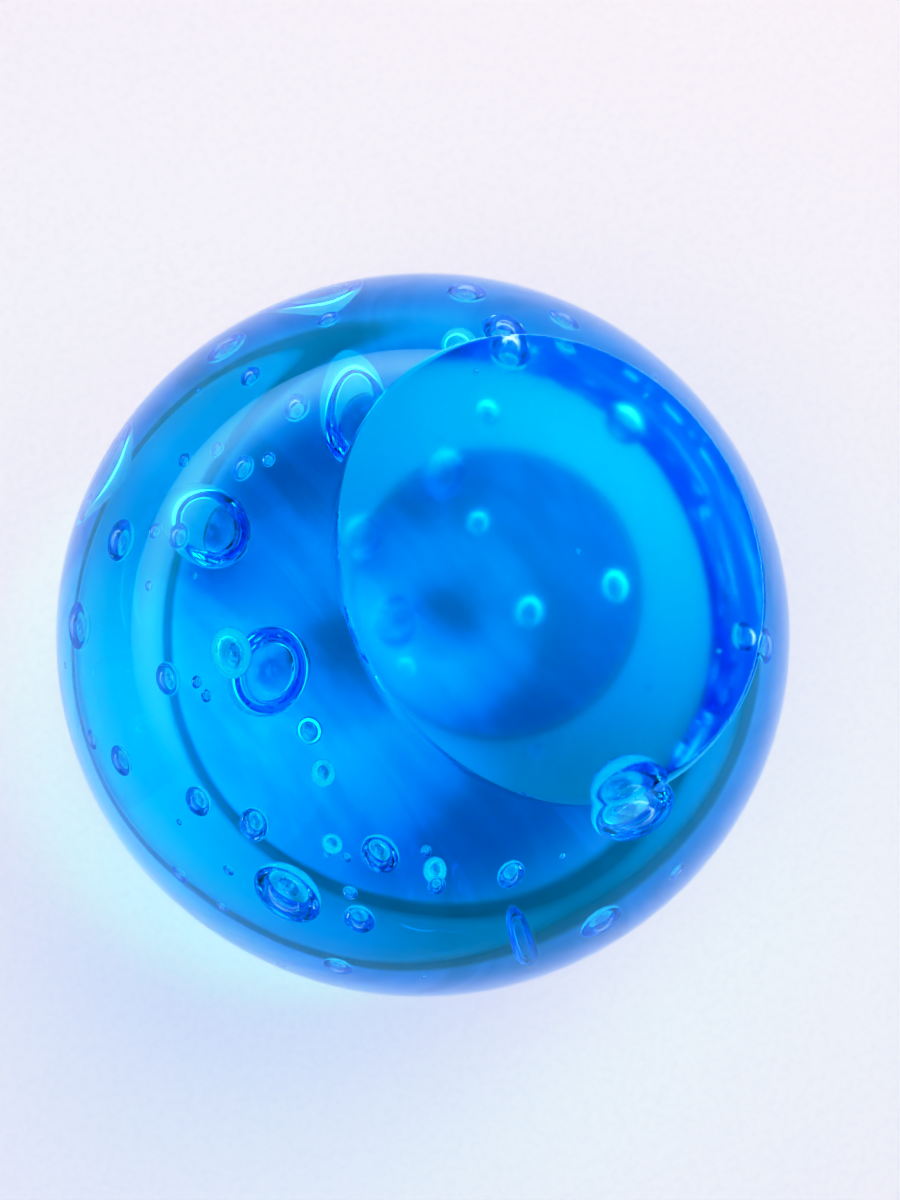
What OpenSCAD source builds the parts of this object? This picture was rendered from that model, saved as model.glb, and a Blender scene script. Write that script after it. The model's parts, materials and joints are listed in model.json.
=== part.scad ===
// Solid glass bubble paperweight: a ball built up in three gathers of aqua glass, with air
// trapped between the gathers, a ground base to stand on and a polished window cut near the top.
// Z is up, the origin is the middle of the base, and the window leans towards +X.

/* [Ball] */
// Diameter of the finished ball
ball_d = 90; // [60:1:120]
// Diameter of the first gather, at the heart of the ball
core_d = 48; // [30:1:50]
// Thickness of the clear casing, the last gather
casing_wall = 7; // [6:0.5:9]

/* [Ground base] */
// Diameter of the circle that the base cuts from the ball
base_d = 43; // [30:1:50]

/* [Polished window] */
// Diameter of the circle that the window cuts from the ball
window_d = 44; // [30:1:50]
// Lean of the window's normal from the vertical, towards +X
window_tilt = 23.5; // [0:0.5:35]
// Width of the fine bevel that breaks the edge of the base and of the window
edge_break = 0.3; // [0.1:0.1:1]

/* [Bubbles] */
// Size of every bubble, as a share of its stated diameter
bubble_scale = 1; // [0.6:0.05:1]
// Diameter of a seed, the finest bubbles
seed_d = 0.7; // [0.4:0.1:1]
// Number of seeds tried around the casing's inner face
seed_tries = 34; // [10:1:60]

/* [Hidden] */
$fn = 96;

ball_r = ball_d / 2;
core_r = core_d / 2;
middle_r = ball_r - casing_wall;
base_h = sqrt(pow(ball_r, 2) - pow(base_d / 2, 2));
window_h = sqrt(pow(ball_r, 2) - pow(window_d / 2, 2));

glass_core = [0.02, 0.45, 0.86];
glass_middle = [0.05, 0.55, 0.92];
glass_casing = [0.10, 0.64, 0.97, 0.55];
air = [0.80, 0.94, 1.00];

// Bubbles are [longitude, latitude, diameter], seen from the ball's centre. Longitude turns from
// +X towards +Y, and latitude rises from the ball's equator to its top.

// Large bubbles, between the middle gather and the casing
LARGE = [[84, -61, 7.5], [129, -58, 6.5], [168, -67, 8], [-67, 50, 8.5],
         [-145, 47, 7], [-128, 60, 4], [23, -35, 6], [47, 40, 5.5]];

// Medium bubbles, between the middle gather and the casing
MEDIUM = [[97, 29, 4.5], [96, 42, 2.5], [79, 36, 2.5], [91, 53, 3], [109, 56, 2.5],
          [135, 41, 4], [151, 32, 4.5], [132, 24, 3], [162, 54, 3], [175, 38, 3],
          [-171, 50, 3], [-159, 55, 3.5], [-97, 54, 3], [-130, 47, 3.5], [-132, 32, 3],
          [-86, 33, 4.5], [55, 29, 4.5], [38, 29, 3.5], [-30, 31, 3.5], [130, 53, 2.5]];

// Small bubbles, between the middle gather and the casing
SMALL = [[116, 46, 1.5], [110, 50, 1.5], [103, 58, 1.5], [131, 48, 1.5], [142, 50, 1],
         [164, 59, 1.2], [168, 60, 1.2], [170, 31, 2], [-116, 61, 1.2], [-136, 58, 1],
         [-133, 52, 1.5], [-163, 33, 2], [-157, 44, 1.2], [-154, 34, 1.2], [-71, 29, 2],
         [-114, 55, 2], [-102, -53, 2], [50, -28, 2]];

// Deep bubbles, between the core and the middle gather
DEEP = [[158, 47, 4.5], [-167, -55, 2.5], [-153, 53, 2.5], [-141, 36, 2],
        [-115, 33, 2.5], [-45, -75, 4.5], [-21, -41, 4.5], [67, -65, 3.5], [56, -6, 3.5]];

// Where a bubble's centre lies, seen from the ball's centre
function bubble_at(b, r) = r * [cos(b[1]) * cos(b[0]), cos(b[1]) * sin(b[0]), sin(b[1])];

// Seeds wind around the ball from top to bottom by the golden angle, and those that would
// touch a bigger bubble are left out.
golden_angle = 137.5;
seed_gap = 0.8;
function seed(i) = [i * golden_angle, asin(0.9 - 1.8 * i / seed_tries), seed_d];
function is_free(s) = min([for (b = concat(LARGE, MEDIUM, SMALL))
    norm(bubble_at(b, middle_r) - bubble_at(s, middle_r)) - (b[2] + s[2]) / 2]) > seed_gap;
SEEDS = [for (i = [0 : seed_tries]) if (is_free(seed(i))) seed(i)];

// From here on the ball's centre is at the origin, until standing() lifts it onto the base.
module standing() {
    translate([0, 0, base_h])
        children();
}

module bubbles(list, r) {
    for (b = list)
        translate(bubble_at(b, r))
            sphere(d = b[2] * bubble_scale, $fn = 48);
}

module large_bubble(i) {
    color(air)
        standing()
            bubbles([LARGE[i]], middle_r);
}

// What grinding a flat leaves: all that lies below a plane at height h, with the edge broken
// by a bevel half-way between the plane and the ball
module below_flat(h, flat_r) {
    reach = 2 * ball_r;
    bevel_h = ball_r * tan(acos(h / ball_r) / 2);
    rotate_extrude()
        polygon([[0, -reach], [flat_r + ball_r, -reach], [flat_r + ball_r, h - bevel_h],
                 [flat_r, h], [0, h]]);
}

module core_gather() {
    color(glass_core)
        standing()
            difference() {
                sphere(r = core_r);
                bubbles(DEEP, core_r);
            }
}

module middle_gather() {
    color(glass_middle)
        standing()
            difference() {
                sphere(r = middle_r);
                sphere(r = core_r);
                bubbles(DEEP, core_r);
                bubbles(concat(LARGE, MEDIUM, SMALL, SEEDS), middle_r);
            }
}

module casing_gather() {
    color(glass_casing)
        standing()
            difference() {
                intersection() {
                    sphere(r = ball_r);
                    mirror([0, 0, 1])
                        below_flat(base_h, base_d / 2 - edge_break);
                    rotate([0, window_tilt, 0])
                        below_flat(window_h, window_d / 2 - edge_break);
                }
                sphere(r = middle_r);
                bubbles(concat(LARGE, MEDIUM, SMALL, SEEDS), middle_r);
            }
}

module medium_bubbles() {
    color(air)
        standing()
            bubbles(MEDIUM, middle_r);
}

module small_bubbles() {
    color(air)
        standing()
            bubbles(SMALL, middle_r);
}

module deep_bubbles() {
    color(air)
        standing()
            bubbles(DEEP, core_r);
}

module seed_bubbles() {
    color(air)
        standing()
            bubbles(SEEDS, middle_r);
}

core_gather();
middle_gather();
casing_gather();
large_bubble(0);  // large_bubble_1
large_bubble(1);  // large_bubble_2
large_bubble(2);  // large_bubble_3
large_bubble(3);  // large_bubble_4
large_bubble(4);  // large_bubble_5
large_bubble(5);  // large_bubble_6
large_bubble(6);  // large_bubble_7
large_bubble(7);  // large_bubble_8
medium_bubbles();
small_bubbles();
deep_bubbles();
seed_bubbles();
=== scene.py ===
"""Looks of the glass bubble paperweight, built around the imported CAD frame. Lengths are in metres."""
import json
import math
import random

import bmesh
import bpy
import numpy as np
from mathutils import Matrix, Vector


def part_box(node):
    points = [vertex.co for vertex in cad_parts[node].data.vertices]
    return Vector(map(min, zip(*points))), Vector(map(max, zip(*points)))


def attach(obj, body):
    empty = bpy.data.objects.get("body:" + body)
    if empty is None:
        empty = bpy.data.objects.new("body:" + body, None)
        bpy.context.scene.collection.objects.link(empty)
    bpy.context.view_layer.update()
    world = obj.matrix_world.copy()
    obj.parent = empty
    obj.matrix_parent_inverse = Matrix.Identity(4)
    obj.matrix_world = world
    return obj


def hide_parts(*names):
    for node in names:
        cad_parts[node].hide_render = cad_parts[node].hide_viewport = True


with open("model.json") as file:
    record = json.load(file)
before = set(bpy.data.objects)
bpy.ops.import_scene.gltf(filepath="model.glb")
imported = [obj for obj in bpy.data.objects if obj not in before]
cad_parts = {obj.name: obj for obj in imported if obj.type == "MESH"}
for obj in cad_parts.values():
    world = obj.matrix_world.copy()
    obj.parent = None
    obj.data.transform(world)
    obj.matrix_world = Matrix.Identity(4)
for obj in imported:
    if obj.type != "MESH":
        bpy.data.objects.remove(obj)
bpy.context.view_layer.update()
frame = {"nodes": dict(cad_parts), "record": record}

MM = 0.001

# ---------------------------------------------------------------- sizes, from the frame

CASING_LOW, CASING_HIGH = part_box("casing_gather")
CORE_LOW, CORE_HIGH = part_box("core_gather")
BALL_R = (CASING_HIGH.x - CASING_LOW.x) / 2
CENTRE = (CORE_LOW + CORE_HIGH) / 2
MOUNTS = {m["name"]: m for m in frame["record"]["mounts"]}
FLATS = [(Vector(MOUNTS[n]["pos_m"]), Vector(MOUNTS[n]["axis"]).normalized()) for n in ("base", "window")]

# The picture is taken from nearly straight above, with the window leaning to its upper right.
VIEW_TURN = math.radians(27.8)
VIEW_RIGHT = Vector((math.cos(VIEW_TURN), -math.sin(VIEW_TURN), 0))
VIEW_UP = Vector((math.sin(VIEW_TURN), math.cos(VIEW_TURN), 0))
UP = Vector((0, 0, 1))


def in_view(right, up, height=0.0):
    """A point given by shares of the ball's radius to the picture's right, its top and upwards."""
    return CENTRE + BALL_R * (VIEW_RIGHT * right + VIEW_UP * up + UP * height)


# ---------------------------------------------------------------- materials


def material(name):
    """An empty node material, and its node tree and output."""
    mat = bpy.data.materials.new(name)
    mat.use_nodes = True
    tree = mat.node_tree
    tree.nodes.clear()
    return mat, tree, tree.nodes.new("ShaderNodeOutputMaterial")


def node(tree, kind, links=(), **inputs):
    """A node with its plain inputs set and (input name, source socket) pairs linked."""
    n = tree.nodes.new(kind)
    for key, value in inputs.items():
        n.inputs[key.replace("_", " ")].default_value = value
    for key, source in links:
        tree.links.new(source, n.inputs[key])
    return n


def fade(tree, source, low, high, at_low, at_high):
    """A smooth change from one level to another as the source goes from low to high."""
    n = tree.nodes.new("ShaderNodeMapRange")
    n.interpolation_type = "SMOOTHSTEP"
    tree.links.new(source, n.inputs["Value"])
    for key, value in (("From Min", low), ("From Max", high), ("To Min", at_low), ("To Max", at_high)):
        n.inputs[key].default_value = value
    return n.outputs[0]


def toward(tree, way, aim):
    """How far a direction points along a vector."""
    n = tree.nodes.new("ShaderNodeVectorMath")
    n.operation = "DOT_PRODUCT"
    tree.links.new(way, n.inputs[0])
    n.inputs[1].default_value = aim
    return n.outputs["Value"]


def maths(tree, operation, first, second):
    """One sum or product of a socket and a socket or number."""
    n = tree.nodes.new("ShaderNodeMath")
    n.operation = operation
    tree.links.new(first, n.inputs[0])
    if isinstance(second, float):
        n.inputs[1].default_value = second
    else:
        tree.links.new(second, n.inputs[1])
    return n.outputs[0]


GLASS_IOR = 1.5
AQUA = (0.0, 0.875, 0.998, 1)  # what is left of each colour as the light goes deeper
AQUA_DEPTH = 55.0  # how fast it does so, per metre
GLEAM = (0.02, 0.42, 0.68, 1)  # tint of the reflections
WINDOW_HAZE = 0.16  # roughness of the polished window
WINDOW_SKIN = (0.05 * MM, 0.02 * MM)  # the haze starts and is full this far under the window's plane

# The ground base: drawn-out darker streaks across it, and a darker ring just inside its rim.
MARK_TURN = math.radians(-50) - VIEW_TURN
MARK_STRETCH = (4.5, 1.0, 1.0)
MARK_RANGE = (0.38, 0.62)
MARK_SHADE = 0.78
RIM_WIDTH = 0.4 * MM
RIM_SHADE = 0.2
BASE_SKIN = (0.15 * MM, 0.4 * MM)  # the marks fade out between these heights

PAPER_PALE = (0.825, 0.845)
PAPER_TONE = (("Red", 1.0), ("Green", 0.965), ("Blue", 0.93))


def ground_marks(tree, place):
    """How clear the ground base is, with its darker streaks and rim ring. Glass above it is quite clear.
    """
    drawn = node(tree, "ShaderNodeMapping", [("Vector", place)])
    drawn.inputs["Rotation"].default_value = (0, 0, MARK_TURN)
    drawn.inputs["Scale"].default_value = MARK_STRETCH
    drawn.vector_type = "TEXTURE"
    marks = node(
        tree, "ShaderNodeTexNoise", [("Vector", drawn.outputs[0])], Scale=230.0, Detail=4.0, Distortion=1.2
    )
    clear = fade(tree, marks.outputs[0], *MARK_RANGE, MARK_SHADE, 1.0)
    away = node(tree, "ShaderNodeVectorMath", [("Vector", place)])
    away.operation = "LENGTH"
    rim_r = math.sqrt(BALL_R**2 - CENTRE.z**2)
    ring = fade(tree, away.outputs["Value"], rim_r - RIM_WIDTH, rim_r - 0.3 * RIM_WIDTH, 1.0, RIM_SHADE)
    height = node(tree, "ShaderNodeSeparateXYZ", [("Vector", place)]).outputs["Z"]
    above = fade(tree, height, *BASE_SKIN, 0.0, 1.0)
    return maths(tree, "MAXIMUM", maths(tree, "MULTIPLY", clear, ring), above)


def aqua_glass():
    """Blue soda glass with a fire-polished skin. The colour is all in the depth of the glass."""
    mat, tree, out = material("aqua_glass")
    place = tree.nodes.new("ShaderNodeTexCoord").outputs["Object"]
    ripple = node(tree, "ShaderNodeTexNoise", [("Vector", place)], Scale=140.0, Detail=1.0)
    bump = node(tree, "ShaderNodeBump", [("Height", ripple.outputs[0])], Strength=0.03, Distance=0.0001)
    haze = node(tree, "ShaderNodeTexNoise", [("Vector", place)], Scale=60.0, Detail=3.0)
    rough = fade(tree, haze.outputs[0], 0.55, 0.8, 0.0, 0.02)
    point, axis = FLATS[1]
    plane = point.dot(axis)
    starts, full = WINDOW_SKIN
    on_window = fade(tree, toward(tree, place, axis), plane - starts, plane - full, 0.0, WINDOW_HAZE)
    rough = maths(tree, "ADD", rough, on_window)
    skin = node(
        tree,
        "ShaderNodeBsdfPrincipled",
        [("Base Color", ground_marks(tree, place)), ("Normal", bump.outputs[0]), ("Roughness", rough)],
        IOR=GLASS_IOR,
        Transmission_Weight=1.0,
        Specular_Tint=GLEAM,
    )
    tint = node(tree, "ShaderNodeVolumeAbsorption", Color=AQUA, Density=AQUA_DEPTH)
    tree.links.new(skin.outputs[0], out.inputs["Surface"])
    tree.links.new(tint.outputs[0], out.inputs["Volume"])
    return mat


def trapped_air():
    """The skin of a bubble, seen from the glass around it, so its index is that of air in glass."""
    mat, tree, out = material("trapped_air")
    place = tree.nodes.new("ShaderNodeTexCoord").outputs["Object"]
    bloom = node(tree, "ShaderNodeTexNoise", [("Vector", place)], Scale=900.0, Detail=2.0)
    clear = fade(tree, bloom.outputs[0], 0.5, 0.75, 1.0, 0.9)
    rough = fade(tree, bloom.outputs[0], 0.6, 0.8, 0.0, 0.04)
    skin = node(tree, "ShaderNodeBsdfGlass", [("Color", clear), ("Roughness", rough)], IOR=1 / GLASS_IOR)
    tree.links.new(skin.outputs[0], out.inputs["Surface"])
    return mat


def white_paper():
    """A plain matt sheet with a faint tooth and a slightly warm tone."""
    mat, tree, out = material("white_paper")
    place = tree.nodes.new("ShaderNodeTexCoord").outputs["Object"]
    tooth = node(tree, "ShaderNodeTexNoise", [("Vector", place)], Scale=700.0, Detail=3.0)
    pale = fade(tree, tooth.outputs[0], 0.3, 0.6, *PAPER_PALE)
    bump = node(tree, "ShaderNodeBump", [("Height", tooth.outputs[0])], Strength=0.08, Distance=0.00005)
    shades = [(channel, maths(tree, "MULTIPLY", pale, share)) for channel, share in PAPER_TONE]
    tone = node(tree, "ShaderNodeCombineColor", shades)
    links = [("Base Color", tone.outputs[0]), ("Normal", bump.outputs[0])]
    skin = node(tree, "ShaderNodeBsdfPrincipled", links, Roughness=0.8)
    tree.links.new(skin.outputs[0], out.inputs["Surface"])
    return mat


# ---------------------------------------------------------------- the glass


def mesh_object(name, points, faces, mat, normals=None):
    """A smooth-shaded mesh object, with its own normals where they are given."""
    mesh = bpy.data.meshes.new(name)
    mesh.from_pydata([tuple(p) for p in points], [], faces)
    mesh.polygons.foreach_set("use_smooth", [True] * len(mesh.polygons))
    mesh.materials.append(mat)
    if normals is not None:
        mesh.normals_split_custom_set_from_vertices([tuple(n) for n in normals])
    mesh.update()
    piece = bpy.data.objects.new(name, mesh)
    bpy.context.scene.collection.objects.link(piece)
    return piece


# The hand-blocked ball is a little narrower from top to bottom of the picture, and its skin waves
# very slightly.
SQUEEZE = 0.014
WAVES = [  # depth, waves round the ball, direction
    (0.05 * MM, 5.0, Vector((0.8, 0.5, 0.3)).normalized()),
    (0.04 * MM, 7.0, Vector((-0.3, 0.9, -0.4)).normalized()),
    (0.03 * MM, 9.0, Vector((0.2, -0.5, 0.9)).normalized()),
]


def hand_blocked(direction):
    """(radius, outward normal) of the ball's skin in a direction from its centre."""
    squeezed = direction.dot(VIEW_UP)
    radius = BALL_R * (1 - SQUEEZE * squeezed**2)
    slope = VIEW_UP * (-2 * SQUEEZE * BALL_R * squeezed)
    for depth, count, along in WAVES:
        turn = count * direction.dot(along)
        radius += depth * (math.sin(turn) - 1)
        slope += along * (depth * count * math.cos(turn))
    slope -= direction * slope.dot(direction)
    return radius, (direction - slope / radius).normalized()


EDGE = 0.3 * MM
EDGE_STEPS = 5
FLAT_RINGS = [1.0, 0.995, 0.96, 0.85, 0.65, 0.4, 0.2]


def glass_body():
    """The ball as one piece of fused glass: a blocked skin, and two ground flats with soft edges."""
    bm = bmesh.new()
    bmesh.ops.create_icosphere(bm, subdivisions=7, radius=BALL_R)
    cuts = []
    for point, axis in FLATS:
        h = (point - CENTRE).dot(axis)
        a = math.sqrt(BALL_R**2 - h**2)
        seam_h = math.sqrt(BALL_R**2 - (a + 2 * EDGE) ** 2)
        everything = bm.verts[:] + bm.edges[:] + bm.faces[:]
        bmesh.ops.bisect_plane(
            bm, geom=everything, dist=1e-7, plane_co=axis * seam_h, plane_no=axis, clear_outer=True
        )
        cuts.append((axis, h, a))
    bmesh.ops.remove_doubles(bm, verts=bm.verts[:], dist=0.01 * MM)
    bm.verts.ensure_lookup_table()
    bm.verts.index_update()
    seams = []
    for axis, h, a in cuts:
        side = axis.orthogonal().normalized()
        other = axis.cross(side)
        loop = [v for v in bm.verts if v.is_boundary and v.co.dot(axis) > 0.5 * h]
        loop.sort(key=lambda v: math.atan2(v.co.dot(other), v.co.dot(side)))
        seams.append([v.index for v in loop])
    points = []
    normals = []
    for v in bm.verts:
        direction = v.co.normalized()
        radius, normal = hand_blocked(direction)
        points.append(direction * radius)
        normals.append(normal)
    faces = [tuple(v.index for v in f.verts) for f in bm.faces]
    bm.free()

    for (axis, h, a), seam in zip(cuts, seams):
        ring = seam
        spokes = []
        for i in seam:
            across = points[i] - axis * points[i].dot(axis)
            spokes.append(across.normalized())
        starts = [points[i].copy() for i in seam]
        start_normals = [normals[i].copy() for i in seam]
        for step in range(1, EDGE_STEPS + 1):
            t = step / EDGE_STEPS
            new_ring = []
            for start, normal, spoke in zip(starts, start_normals, spokes):
                corner = axis * h + spoke * a
                end = axis * h + spoke * (a - EDGE)
                points.append(start * (1 - t) ** 2 + corner * (2 * t * (1 - t)) + end * t**2)
                normals.append((normal * (1 - t) + axis * t).normalized())
                new_ring.append(len(points) - 1)
            stitch(faces, ring, new_ring)
            ring = new_ring
        for share in FLAT_RINGS[1:]:
            new_ring = []
            for spoke in spokes:
                points.append(axis * h + spoke * ((a - EDGE) * share))
                normals.append(axis.copy())
                new_ring.append(len(points) - 1)
            stitch(faces, ring, new_ring)
            ring = new_ring
        points.append(axis * h)
        normals.append(axis.copy())
        middle = len(points) - 1
        for i in range(len(ring)):
            faces.append((ring[i], ring[(i + 1) % len(ring)], middle))
    return mesh_object("glass_body", [CENTRE + p for p in points], faces, aqua_glass(), normals)


def stitch(faces, outer, inner):
    """Quads between two rings of the same count."""
    count = len(outer)
    for i in range(count):
        j = (i + 1) % count
        faces.append((outer[i], outer[j], inner[j], inner[i]))


# ---------------------------------------------------------------- the bubbles


def islands(cad_node):
    """(centre, diameter) of each separate ball in a CAD node."""
    bm = bmesh.new()
    bm.from_mesh(frame["nodes"][cad_node].data)
    bmesh.ops.remove_doubles(bm, verts=bm.verts[:], dist=0.001 * MM)
    left = set(bm.verts)
    found = []
    while left:
        start = left.pop()
        stack = [start]
        members = [start.co.copy()]
        while stack:
            for edge in stack.pop().link_edges:
                for v in edge.verts:
                    if v in left:
                        left.remove(v)
                        stack.append(v)
                        members.append(v.co.copy())
        co = np.array(members)
        low, high = co.min(0), co.max(0)
        found.append((Vector((low + high) / 2), float((high - low).max())))
    bm.free()
    return sorted(found, key=lambda f: tuple(round(c, 6) for c in f[0]))


FLATTEN = 0.17  # how much the usual bubble is squashed
FLATTEN_WIDEST = 0.28


def bubbles(cad_node, mat, subdivisions, flatten=FLATTEN, lie=0.0):
    """Every bubble of a CAD node as a slightly squashed, closed ball of air."""
    rng = random.Random(cad_node)
    points = []
    faces = []
    shell = bmesh.new()
    bmesh.ops.create_icosphere(shell, subdivisions=subdivisions, radius=1.0)
    unit = [v.co.copy() for v in shell.verts]
    unit_faces = [tuple(v.index for v in f.verts) for f in shell.faces]
    shell.free()
    for centre, diameter in islands(cad_node):
        radial = (centre - CENTRE).normalized()
        side = (VIEW_UP - radial * VIEW_UP.dot(radial)).normalized()
        side.rotate(Matrix.Rotation(lie + rng.uniform(-0.4, 0.4), 3, radial))
        turn = Matrix((side, radial.cross(side), radial)).transposed()
        stretch = Vector((1.0, 1 - flatten * rng.uniform(0.6, 1.4), 1 - flatten * rng.uniform(0.4, 1.2)))
        first = len(points)
        for p in unit:
            shaped = Vector((p.x * stretch.x, p.y * stretch.y, p.z * stretch.z))
            points.append(centre + turn @ shaped * (diameter / 2))
        faces += [tuple(i + first for i in f) for f in unit_faces]
    piece = mesh_object("air_" + cad_node, points, faces, mat)
    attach(piece, "root")
    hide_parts(cad_node)


# ---------------------------------------------------------------- the object

glass = glass_body()
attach(glass, "root")
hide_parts("core_gather", "middle_gather", "casing_gather")

air = trapped_air()
for number in range(1, 9):
    if number == 4:  # the widest one lies across the picture
        bubbles("large_bubble_4", air, 5, flatten=FLATTEN_WIDEST, lie=math.pi / 2)
    else:
        bubbles(f"large_bubble_{number}", air, 5)
bubbles("medium_bubbles", air, 4)
bubbles("deep_bubbles", air, 4)
bubbles("small_bubbles", air, 3)
bubbles("seed_bubbles", air, 2)

# ---------------------------------------------------------------- floor, light and camera

FLOOR_GAP = 0.1 * MM
FLOOR_SIDE = 12.0


def floor():
    """A plain pale sheet just under the base."""
    half = FLOOR_SIDE / 2
    corners = [(x * half, y * half, -FLOOR_GAP) for x, y in ((-1, -1), (1, -1), (1, 1), (-1, 1))]
    sheet = mesh_object("floor", corners, [(0, 1, 2, 3)], white_paper())


def lamp(name, place, size, watts):
    """A round soft light that faces the ball."""
    data = bpy.data.lights.new(name, "AREA")
    data.shape = "DISK"
    data.size = size
    data.energy = watts
    light = bpy.data.objects.new(name, data)
    bpy.context.scene.collection.objects.link(light)
    light.location = place
    light.rotation_euler = (place - CENTRE).to_track_quat("Z", "Y").to_euler()
    light.visible_glossy = False


# Two small lamps: the base shows the light of the key as an off-centre disc, and the fill evens it.
LAMP_SIZE = 0.3
KEY_PLACE = in_view(5.7, 3.0, 24.0)
KEY_WATTS = 1.05
FILL_PLACE = in_view(8.6, 0.1, 24.0)
FILL_WATTS = 0.45

# The room's pale walls light the ball from low down, most of all from the picture's top. Overhead
# it is pale to the picture's lower left and dark elsewhere, and darkest round the key, where the
# phone is. A window stands to the picture's upper right.
SKY_RISE = (math.sin(math.radians(-4)), math.sin(math.radians(8)))  # where it brightens, by height
SKY_DARK = (math.sin(math.radians(5)), math.sin(math.radians(28)))  # where it fades again
SKY_LIGHT = 6.7
SKY_COLOUR = (1.0, 0.95, 0.92, 1)
SKY_LEAN = (VIEW_RIGHT * 0.26 + VIEW_UP * 0.97) * 0.8
HIGH_WAY = (UP * 0.927 - VIEW_RIGHT * 0.331 - VIEW_UP * 0.176).normalized()
HIGH_EDGE = (math.cos(math.radians(46)), math.cos(math.radians(10)))
HIGH_LIGHT = (0.02, 1.0)
PHONE_WAY = (KEY_PLACE - CENTRE).normalized()
PHONE_EDGE = (math.cos(math.radians(27)), math.cos(math.radians(20)))
WINDOW_WAY = (VIEW_RIGHT * 0.45 + VIEW_UP * 0.65 + UP * 0.62).normalized()
WINDOW_EDGE = (math.cos(math.radians(32)), math.cos(math.radians(8)))
WINDOW_LIGHT = 2.4


def sky():
    """A soft, pale surround: bright low down, dimmer overhead, and a window to one side."""
    world = bpy.data.worlds.new("sky")
    world.use_nodes = True
    tree = world.node_tree
    background = tree.nodes["Background"]
    background.inputs["Color"].default_value = SKY_COLOUR
    way = tree.nodes.new("ShaderNodeTexCoord").outputs["Generated"]
    height = node(tree, "ShaderNodeSeparateXYZ", [("Vector", way)]).outputs["Z"]
    rise = fade(tree, height, *SKY_RISE, 0.25, 1.0)
    low = maths(tree, "MULTIPLY", rise, fade(tree, height, *SKY_DARK, SKY_LIGHT, 0.0))
    lean = maths(tree, "ADD", toward(tree, way, SKY_LEAN), 1.0)
    window = fade(tree, toward(tree, way, WINDOW_WAY), *WINDOW_EDGE, 0.0, WINDOW_LIGHT)
    overhead = fade(tree, toward(tree, way, HIGH_WAY), *HIGH_EDGE, *HIGH_LIGHT)
    phone = fade(tree, toward(tree, way, PHONE_WAY), *PHONE_EDGE, 1.0, 0.0)
    high = maths(tree, "MULTIPLY", overhead, phone)
    total = maths(tree, "ADD", maths(tree, "ADD", maths(tree, "MULTIPLY", low, lean), window), high)
    tree.links.new(total, background.inputs["Strength"])
    bpy.context.scene.world = world


LENS = 26.5
CAMERA_PLACE = in_view(0.046, 0.038, 2.6)
CAMERA_AIM = in_view(0.069, 0.087)


def camera():
    """A camera that looks almost straight down at the ball, from a little to its upper right."""
    data = bpy.data.cameras.new("camera")
    data.sensor_fit = "AUTO"
    data.sensor_width = 36.0
    data.lens = LENS
    data.clip_start = 1 * MM
    data.clip_end = 20.0
    z = (CAMERA_PLACE - CAMERA_AIM).normalized()
    x = VIEW_UP.cross(z).normalized()
    y = z.cross(x)
    eye = bpy.data.objects.new("camera", data)
    bpy.context.scene.collection.objects.link(eye)
    eye.matrix_world = Matrix.Translation(CAMERA_PLACE) @ Matrix((x, y, z)).transposed().to_4x4()
    bpy.context.scene.camera = eye


RED_CURVE = ((0.06, 0.0), (0.3, 0.22))
BLUE_CURVE = ((0.35, 0.52), (0.65, 0.91), (0.92, 0.96))


def vivid_colours():
    """The phone's own vivid colours: cleaner shadows in the reds, and fuller blues."""
    view = bpy.context.scene.view_settings
    view.view_transform = "Standard"
    view.use_curve_mapping = True
    reds, blues = view.curve_mapping.curves[0], view.curve_mapping.curves[2]
    for curve, points in ((reds, RED_CURVE), (blues, BLUE_CURVE)):
        for x, y in points:
            curve.points.new(x, y)
    view.curve_mapping.update()


def light_paths():
    """Light is followed right through the glass and the bubbles, and back."""
    cycles = bpy.context.scene.cycles
    cycles.max_bounces = 32
    cycles.transmission_bounces = 32
    cycles.glossy_bounces = 16
    cycles.diffuse_bounces = 4
    cycles.caustics_refractive = True
    cycles.caustics_reflective = True
    cycles.blur_glossy = 0.0


floor()
lamp("key", KEY_PLACE, LAMP_SIZE, KEY_WATTS)
lamp("fill", FILL_PLACE, LAMP_SIZE, FILL_WATTS)
sky()
camera()
light_paths()
vivid_colours()
